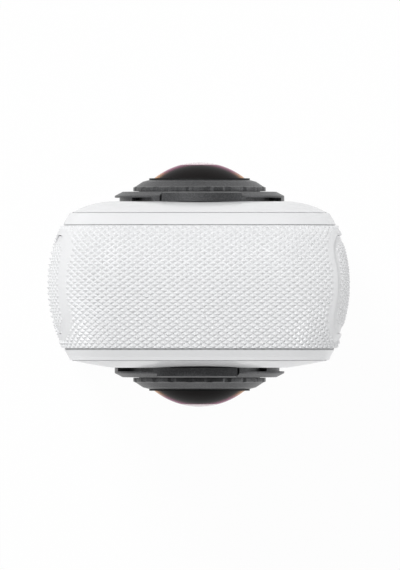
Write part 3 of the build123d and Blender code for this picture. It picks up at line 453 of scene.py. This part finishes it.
def on_body(along, depth, sink):
    """The point at a distance along the outline and a depth, sunk into the crowned side."""
    way = 1.0 if along >= 0 else -1.0
    run = abs(along)
    inset = CROWN - math.sqrt(CROWN * CROWN - depth * depth) + sink
    inset += EDGE_DROP * max(depth - BACK_EDGE + EDGE_RUN, 0.0) / EDGE_RUN
    if run < half_flat:
        spot, angle = Vector((run, 0, TOP)), math.pi / 2
    elif run < half_flat + quarter:
        angle = math.pi / 2 - (run - half_flat) / CORNER
        spot = on_corner(angle, corner_top)
    elif run < half_flat + quarter + side_length:
        spot, angle = Vector((HALF_WIDTH, 0, corner_top - (run - half_flat - quarter))), 0.0
    else:
        angle = -(run - half_flat - quarter - side_length) / CORNER
        spot = on_corner(angle, CORNER_BOTTOM)
    outward = Vector((math.cos(angle), 0, math.sin(angle)))
    point = spot - outward * inset
    return Vector((way * point.x, depth, point.z))


print("top of the crown:", [round(value / MM, 2) for value in on_body(0.0, 0.0, 0.0)], "mm")

# %% [markdown]
# Three panels are let into the sides: the right one with the port door, the short left one, and
# the battery cover. Each opening is a rounded rectangle, a little larger than what fills it.

# %% Panel openings
PANEL_HALF = 7.5 * MM
PANEL_GAP = 0.15 * MM
PANEL_CORNER = 3.5 * MM


def rounded_distance(y, z, box):
    """Signed distance to a rounded panel's edge in its (y, z) plane: negative inside."""
    half_y, low, high, corner = box
    across = abs(y) - half_y + corner
    up = abs(z - (low + high) / 2) - (high - low) / 2 + corner
    outside = math.hypot(max(across, 0.0), max(up, 0.0))
    return outside + min(max(across, up), 0.0) - corner


def panel_box(node, other=None):
    """The edge of a panel opening, from the solids that fill it."""
    low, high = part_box(node)
    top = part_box(other)[1].z if other else high.z
    return (PANEL_HALF, low.z - PANEL_GAP, top + PANEL_GAP, PANEL_CORNER)


right_box = panel_box("usb_door", "right_side_panel")
left_top_box = panel_box("left_side_panel")
battery_box = panel_box("battery_cover")
door_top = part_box("usb_door")[1].z
openings = (right_box, left_top_box, battery_box)
print("panel openings:", [[round(v / MM, 2) for v in box] for box in openings])

# %% [markdown]
# The studs stop short of every edge, button and latch, and sink away over half a millimetre. Each
# region has a function that says how high its studs stand at a point, from 0 to 1.

# %% Where each region's studs stand
LIP = 1.05 * MM
MARGIN = 0.8 * MM
FADE = 0.5 * MM
BUTTON_MARGIN = 0.55 * MM
LATCH_TRAVEL = 2.2 * MM
HINGE_STRIP = 8.3 * MM
HINGE_SIDE = 4.9 * MM
ABOVE_DOOR = 0.7 * MM
DOOR_MARGIN = 0.6 * MM
BUTTONS = ("power_button", "quick_button")
LATCHES = ("upper_latch", "lower_latch")
placed = {node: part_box(node) for node in BUTTONS + LATCHES}


def fade(distance, start):
    """0 at the smooth margin, rising to 1 over the fade."""
    share = min(max((distance - start) / FADE, 0.0), 1.0)
    return share * share * (3 - 2 * share)


def pill_distance(y, z, node):
    """Distance outside a side button's pill."""
    low, high = placed[node]
    radius = (high.y - low.y) / 2
    run = max(abs(z - (low.z + high.z) / 2) - (high.z - low.z) / 2 + radius, 0.0)
    return math.hypot(y, run) - radius


def latch_distance(y, z, node):
    """Distance outside a latch's slot, which is longer than the latch by its travel."""
    low, high = placed[node]
    inward = -LATCH_TRAVEL if node == "upper_latch" else LATCH_TRAVEL
    bottom, top = low.z + min(inward, 0.0), high.z + max(inward, 0.0)
    return max(abs(y) - (high.y - low.y) / 2, bottom - z, z - top)


def band_height(spot):
    """On the band, clear of the base, of every opening and of the port door's hinge."""
    height = fade(spot.z, BASE_SMOOTH)
    boxes = (right_box,) if spot.x > 0 else (left_top_box, battery_box)
    for box in boxes:
        height *= fade(rounded_distance(spot.y, spot.z, box), MARGIN)
    if spot.x > 0 and spot.y > 0 and spot.z < door_top + LIP:
        height *= fade(spot.y, HINGE_STRIP)
    return height


def left_panel_height(spot):
    """Inside the left panel's edge."""
    return fade(-rounded_distance(spot.y, spot.z, left_top_box), LIP) * (spot.x < 0)


def right_panel_height(spot):
    """Inside the right panel's edge, above the port door and round the buttons."""
    height = fade(-rounded_distance(spot.y, spot.z, right_box), LIP) * (spot.x > 0)
    height *= fade(spot.z - door_top, ABOVE_DOOR)
    for node in BUTTONS:
        height *= fade(pill_distance(spot.y, spot.z, node), BUTTON_MARGIN)
    return height


def port_door_height(spot):
    """On the port door, clear of its hinge side."""
    height = fade(-rounded_distance(spot.y, spot.z, right_box), LIP) * (spot.x > 0)
    height *= fade(door_top - spot.z, DOOR_MARGIN)
    return height * fade(HINGE_SIDE - spot.y, 0.0)


def battery_door_height(spot):
    """On the battery cover, round its two latches."""
    height = fade(-rounded_distance(spot.y, spot.z, battery_box), LIP) * (spot.x < 0)
    for node in LATCHES:
        height *= fade(latch_distance(spot.y, spot.z, node), BUTTON_MARGIN)
    return height


print("smooth edge", round(LIP / MM, 2), "mm wide, studs fade over", round(FADE / MM, 2), "mm")

# %% [markdown]
# A stud is a flat diamond, extruded by its own height, with its top scaled down to a small facet.
# The flat faces are kept and turned over as the underside, so each stud is a closed solid.

# %% The tree that raises studs
WELD = 0.002 * MM


def stud_tree():
    """A tree that raises every face by its stud_height and tapers the top."""
    tree = Tree("Raise studs", Depth="Float", Top="Float", Material="Material")
    label = {"Name": "stud_height"}
    named = tree.node("GeometryNodeInputNamedAttribute", {"data_type": "FLOAT"}, label)
    lift = tree.node(
        "ShaderNodeMath",
        {"operation": "MULTIPLY"},
        {0: named.outputs["Attribute"], 1: tree.source.outputs["Depth"]},
    )
    base = tree.source.outputs["Geometry"]
    raised = tree.node(
        "GeometryNodeExtrudeMesh",
        {"mode": "FACES"},
        {"Mesh": base, "Offset Scale": lift.outputs[0], "Individual": True},
    )
    tops = {
        "Geometry": raised.outputs["Mesh"],
        "Selection": raised.outputs["Top"],
        "Scale": tree.source.outputs["Top"],
    }
    tapered = tree.node("GeometryNodeScaleElements", None, tops)
    under = tree.node("GeometryNodeFlipFaces", None, {"Mesh": base})
    both = tree.node("GeometryNodeJoinGeometry")
    for part in (tapered.outputs[0], under.outputs[0]):
        tree.group.links.new(part, both.inputs[0])
    joined = {"Geometry": both.outputs[0], "Distance": WELD}
    tree.close(tree.node("GeometryNodeMergeByDistance", None, joined).outputs[0])
    return tree


studs = stud_tree()
print("stud tree:", len(studs.group.nodes), "nodes")

# %% [markdown]
# The diamonds sit on a grid of half steps, every second place filled. Those that a rim's seam
# crosses are cut off along it, and slivers are left out.


# %% Lay the diamonds out
def clipped(corners, low, high):
    """A polygon cut off at two depths."""
    for limit, keep in ((low, 1.0), (high, -1.0)):
        kept = []
        for first, second in zip(corners, corners[1:] + corners[:1]):
            a, b = keep * (first[1] - limit), keep * (second[1] - limit)
            if a >= 0:
                kept.append(first)
            if a * b < 0:
                share = a / (a - b)
                kept.append(tuple(p + (q - p) * share for p, q in zip(first, second)))
        corners = kept
        if len(corners) < 3:
            return []
    return corners


def layout(height_at, base):
    """Every diamond that stands in one region, with its height."""
    points, faces, heights = [], [], []
    rows = int(max(-FRONT_EDGE, BACK_EDGE) / (STUD_SHORT / 2)) + 2
    columns = int(reach / (STUD_LONG / 2)) + 1
    half_long, half_short = STUD_LONG / 2 * STUD_SHARE, STUD_SHORT / 2 * STUD_SHARE
    for column in range(-columns, columns + 1):
        for row in range(-rows, rows + 1):
            if (column + row) % 2:
                continue
            along, depth = column * STUD_LONG / 2, row * STUD_SHORT / 2
            inside = min(max(depth, FRONT_EDGE), BACK_EDGE)
            if abs(along) > reach or abs(depth - inside) > STUD_SHORT / 2:
                continue
            height = height_at(on_body(along, inside, 0.0))
            if height < LEAST_HEIGHT:
                continue
            shape = [(along + half_long, depth), (along, depth + half_short)]
            shape += [(along - half_long, depth), (along, depth - half_short)]
            shape = clipped(shape, FRONT_EDGE + CUT_EDGE, BACK_EDGE - CUT_EDGE)
            if not shape:
                continue
            spread = max(p[1] for p in shape) - min(p[1] for p in shape)
            if spread < LEAST_SPREAD:
                continue
            faces.append(tuple(range(len(points), len(points) + len(shape))))
            points += [on_body(s, d, base + STUD_SINK) for s, d in shape]
            heights.append(height)
    return points, faces, heights


def stud_field(name, body, height_at, base=PANEL_SINK, depth=PANEL_STUD):
    """One region's studs as a piece that rides on a body."""
    points, faces, heights = layout(height_at, base)
    obj = new_piece(name, points, faces)
    shape = bmesh.new()
    shape.from_mesh(obj.data)
    centre = Vector((0, 0, TOP / 2))
    for face in shape.faces:
        middle = face.calc_center_median()
        core_x = min(max(middle.x, -half_flat), half_flat)
        core_z = min(max(middle.z, CORNER_BOTTOM), corner_top)
        if face.normal.dot(middle - (Vector((core_x, 0, core_z)) + centre) / 2) < 0:
            face.normal_flip()
    shape.to_mesh(obj.data)
    shape.free()
    values = obj.data.attributes.new("stud_height", "FLOAT", "FACE")
    values.data.foreach_set("value", np.array(heights, np.float32))
    studs.run(obj, Depth=depth + STUD_SINK, Top=STUD_TOP, Material=finishes["white_textured"])
    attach(obj, body)
    triangles = sum(len(face.vertices) - 2 for face in obj.data.polygons)
    print(name, len(heights), "studs,", triangles, "triangles")


stud_field("grip_band", "root", band_height, 0.0, BAND_STUD)
stud_field("grip_left_panel", "root", left_panel_height)
stud_field("grip_right_panel", "root", right_panel_height)
stud_field("grip_port_door", "port_door", port_door_height)
stud_field("grip_battery_door", "battery", battery_door_height)

# %% [markdown]
# ## Fluted lens rings
# A lens guard is twisted off by hand, so its ring has 22 shallow flutes round the shoulder. A copy
# of the CAD ring is merged into one closed surface, and Geometry Nodes cut the flutes with a circle
# of small cylinders.

# %% The tree that cuts flutes
FLUTES = 22
FLUTE_RADIUS = 1.6 * MM
FLUTE_PLACE = 11.5 * MM
FLUTE_LENGTH = 1.9 * MM
FLUTE_OVERRUN = 0.3 * MM
RING_FOOT = 14.2 * MM
CUTTER_SIDES = 20
RING_WELD = 0.0005 * MM
LENS_HEIGHT = sum(v.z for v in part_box("front_lens_ring")) / 2


def flute_tree():
    """A tree that cuts a circle of cylinders out of a ring."""
    tree = Tree(
        "Cut flutes", Count="Int", Place="Float", Radius="Float", Side="Float", Material="Material"
    )
    source = tree.source.outputs
    circle = {"Vertices": source["Count"], "Radius": source["Place"]}
    ring = tree.node("GeometryNodeMeshCircle", None, circle)
    tool = {"Vertices": CUTTER_SIDES, "Radius": source["Radius"], "Depth": FLUTE_LENGTH}
    cutter = tree.node("GeometryNodeMeshCylinder", None, tool)
    spots = {"Points": ring.outputs[0], "Instance": cutter.outputs[0]}
    cutters = tree.node("GeometryNodeInstanceOnPoints", None, spots)
    real = tree.node("GeometryNodeRealizeInstances", None, {"Geometry": cutters.outputs[0]})
    middle = tree.node("ShaderNodeCombineXYZ", None, {"Y": source["Side"], "Z": LENS_HEIGHT})
    turn = {
        "Geometry": real.outputs[0],
        "Translation": middle.outputs[0],
        "Rotation": (math.pi / 2, 0, 0),
    }
    turned = tree.node("GeometryNodeTransform", None, turn)
    cut = tree.node("GeometryNodeMeshBoolean", {"operation": "DIFFERENCE", "solver": "EXACT"})
    tree.group.links.new(source["Geometry"], cut.inputs["Mesh 1"])
    tree.group.links.new(turned.outputs[0], cut.inputs["Mesh 2"])
    tree.close(cut.outputs["Mesh"])
    return tree


flutes = flute_tree()
print("flute tree:", len(flutes.group.nodes), "nodes")

# %% [markdown]
# Both rings go through the same tree. The fluted copy takes the CAD ring's place on its body.


# %% Cut both rings
def merged_copy(node, name):
    """A closed copy of a CAD node's loose triangles."""
    shape = bmesh.new()
    shape.from_mesh(frame["nodes"][node].data)
    bmesh.ops.remove_doubles(shape, verts=shape.verts, dist=RING_WELD)
    mesh = bpy.data.meshes.new(name)
    shape.to_mesh(mesh)
    shape.free()
    obj = bpy.data.objects.new(name, mesh)
    bpy.context.scene.collection.objects.link(obj)
    return obj


for face_name, way in (("front", -1), ("back", 1)):
    ring = merged_copy(face_name + "_lens_ring", face_name + "_fluted_ring")
    station = way * (RING_FOOT + FLUTE_LENGTH / 2 - FLUTE_OVERRUN)
    values = {"Count": FLUTES, "Place": FLUTE_PLACE, "Radius": FLUTE_RADIUS, "Side": station}
    flutes.run(ring, **values, Material=finishes["lens_ring_grey"])
    ring.data.shade_flat()
    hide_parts(face_name + "_lens_ring")
    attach(ring, face_name + "_lens")
    print(ring.name, len(ring.data.polygons), "faces")

# %% [markdown]
# ## Tripod thread
# The CAD socket is a plain bore. The real one is a 1/4 inch thread with 20 turns to the inch, so
# a ridge with a 60 degree flank is swept along a helix inside it.

# %% Sweep the thread's ridge
THREAD_PITCH = 1.27 * MM
THREAD_WALL = 3.2 * MM
THREAD_CREST = 2.66 * MM
THREAD_BITE = 0.03 * MM
THREAD_LOW = 0.75 * MM
THREAD_HIGH = 6.6 * MM
STEPS = 28


def thread_ridge():
    """A helical ridge that eases in and out of the socket's wall."""
    turns = (THREAD_HIGH - THREAD_LOW) / THREAD_PITCH
    count = int(turns * STEPS)
    section = ((0.0, -0.4), (1.0, -0.06), (1.0, 0.06), (0.0, 0.4))
    points, faces = [], []
    for step in range(count + 1):
        angle = 2 * math.pi * step / STEPS
        rise = THREAD_LOW + (THREAD_HIGH - THREAD_LOW) * step / count
        ease = min(1.0, step / STEPS * 2, (count - step) / STEPS * 2)
        for share, offset in section:
            radius = THREAD_WALL + THREAD_BITE - share * ease * (THREAD_WALL - THREAD_CREST)
            height = rise + offset * THREAD_PITCH
            points.append((radius * math.cos(angle), radius * math.sin(angle), height))
    size = len(section)
    for step in range(count):
        for side in range(size):
            a, b = step * size + side, step * size + (side + 1) % size
            faces.append((a, b, b + size, a + size))
    faces.append(tuple(range(size)))
    faces.append(tuple(reversed(range(count * size, (count + 1) * size))))
    obj = new_piece("tripod_thread", points, faces)
    shape = bmesh.new()
    shape.from_mesh(obj.data)
    bmesh.ops.recalc_face_normals(shape, faces=shape.faces)
    shape.to_mesh(obj.data)
    shape.free()
    obj.data.materials.append(finishes["steel"])
    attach(obj, "root")
    print("thread:", round(turns, 1), "turns,", len(faces), "faces")


thread_ridge()

# %% [markdown]
# ## Floor, light and camera
# A product photographer lays the camera on a white sweep and lights it with large soft boxes. The
# main one is up and to the left of the picture. The view is straight down onto the top end from
# far away, through a long lens, so both faces are seen edge on.

# %% White floor
WHITE = rgba(1.0, 1.0, 1.0)
FLOOR = 1.5
FLOOR_GLOW = 0.97


def camera_rays(finish):
    """1 for what the camera sees directly, in a mirror or through glass."""
    path = finish.node("ShaderNodeLightPath", output="Is Camera Ray")
    kinds = path.socket.node.outputs
    mirrored = Signal(finish, kinds["Is Glossy Ray"])
    seen = path + mirrored + Signal(finish, kinds["Is Transmission Ray"])
    return finish.node("ShaderNodeMath", {"operation": "MINIMUM"}, {0: seen, 1: 1.0})


def white_floor():
    """White to the camera, and still dark enough in a shadow to show it."""
    finish = Finish("White sweep")
    finish.set(Base_Color=rgba(0.9, 0.9, 0.9), Roughness=0.7)
    glow = finish.node("ShaderNodeEmission", None, {"Color": WHITE, "Strength": 1.0}, "Emission")
    share = camera_rays(finish) * FLOOR_GLOW
    mix = finish.tree.nodes.new("ShaderNodeMixShader")
    finish.tree.links.new(share.socket, mix.inputs[0])
    finish.tree.links.new(finish.surface.outputs[0], mix.inputs[1])
    finish.tree.links.new(glow.socket, mix.inputs[2])
    end = next(n for n in finish.tree.nodes if n.type == "OUTPUT_MATERIAL")
    finish.tree.links.new(mix.outputs[0], end.inputs["Surface"])
    return finish.material


corners = [(-FLOOR, -FLOOR, 0), (FLOOR, -FLOOR, 0), (FLOOR, FLOOR, 0), (-FLOOR, FLOOR, 0)]
floor = new_piece("white_floor", corners, [(0, 1, 2, 3)])
floor.data.materials.append(white_floor())
print("floor:", 2 * FLOOR, "m wide")

# %% [markdown]
# The backdrop is plain white to the camera and dimmer as a light, so the soft boxes shape the
# camera and the world only fills its shadows.

# %% Backdrop
WORLD_LIGHT = 0.3
world = bpy.data.worlds.new("Studio")
bpy.context.scene.world = world
world.use_nodes = True
nodes, links = world.node_tree.nodes, world.node_tree.links
sky = next(n for n in nodes if n.type == "BACKGROUND")
sky.inputs["Color"].default_value = WHITE
sky.inputs["Strength"].default_value = WORLD_LIGHT
bright = nodes.new("ShaderNodeBackground")
bright.inputs["Color"].default_value = WHITE
bright.inputs["Strength"].default_value = 1.0
path = nodes.new("ShaderNodeLightPath")
mix = nodes.new("ShaderNodeMixShader")
links.new(path.outputs["Is Camera Ray"], mix.inputs[0])
links.new(sky.outputs[0], mix.inputs[1])
links.new(bright.outputs[0], mix.inputs[2])
links.new(mix.outputs[0], next(n for n in nodes if n.type == "OUTPUT_WORLD").inputs["Surface"])
print("backdrop: 1.0 seen,", WORLD_LIGHT, "as light")

# %% [markdown]
# The key light is high above, towards the picture's top left. Two broad boxes fill the sides, and
# a low one in front lifts the screen side.

# %% Soft boxes
AIM = (0, 0, 0.08)


def soft_box(name, place, size, power):
    """A rectangular lamp that faces the upper part of the body."""
    light = bpy.data.lights.new(name, "AREA")
    light.shape = "RECTANGLE"
    light.size, light.size_y = size
    light.energy = power
    obj = bpy.data.objects.new(name, light)
    obj.location = place
    obj.rotation_euler = (Vector(AIM) - Vector(place)).to_track_quat("-Z", "Y").to_euler()
    bpy.context.scene.collection.objects.link(obj)
    print("soft box:", name, power, "W")


soft_box("key", (-0.25, 0.42, 0.95), (0.22, 0.22), 6.0)
soft_box("left", (-0.8, 0.05, 0.3), (0.4, 0.4), 1.0)
soft_box("right", (0.8, 0, 0.25), (0.4, 0.4), 1.7)
soft_box("low", (0, -0.9, 0.03), (0.6, 0.16), 2.4)

# %% [markdown]
# The camera hangs about 2.4 m above the top end. The body is 302 pixels wide in the picture, which
# sets the lens, and its middle is half a pixel off the picture's.

# %% Camera
PICTURE = (400, 570)
MM_PER_PIXEL = 46.0 / 302.0
CENTRE = (199.5, 284.5)
DISTANCE = 2.4
SHARP_HEIGHT = 0.09
SENSOR = 36.0
camera_data = bpy.data.cameras.new("camera")
camera_data.sensor_fit = "VERTICAL"
camera_data.sensor_height = SENSOR
camera_data.lens = SENSOR * DISTANCE / (PICTURE[1] * MM_PER_PIXEL * MM)
camera = bpy.data.objects.new("camera", camera_data)
shift_x = (PICTURE[0] / 2 - CENTRE[0]) * MM_PER_PIXEL * MM
shift_y = (CENTRE[1] - PICTURE[1] / 2) * MM_PER_PIXEL * MM
camera.location = (shift_x, shift_y, SHARP_HEIGHT + DISTANCE)
camera_data.clip_end = 20.0
bpy.context.scene.collection.objects.link(camera)
bpy.context.scene.camera = camera
bpy.context.scene.view_settings.view_transform = "Standard"
print("lens", round(camera_data.lens, 1), "mm at", round(camera.location.z, 2), "m")
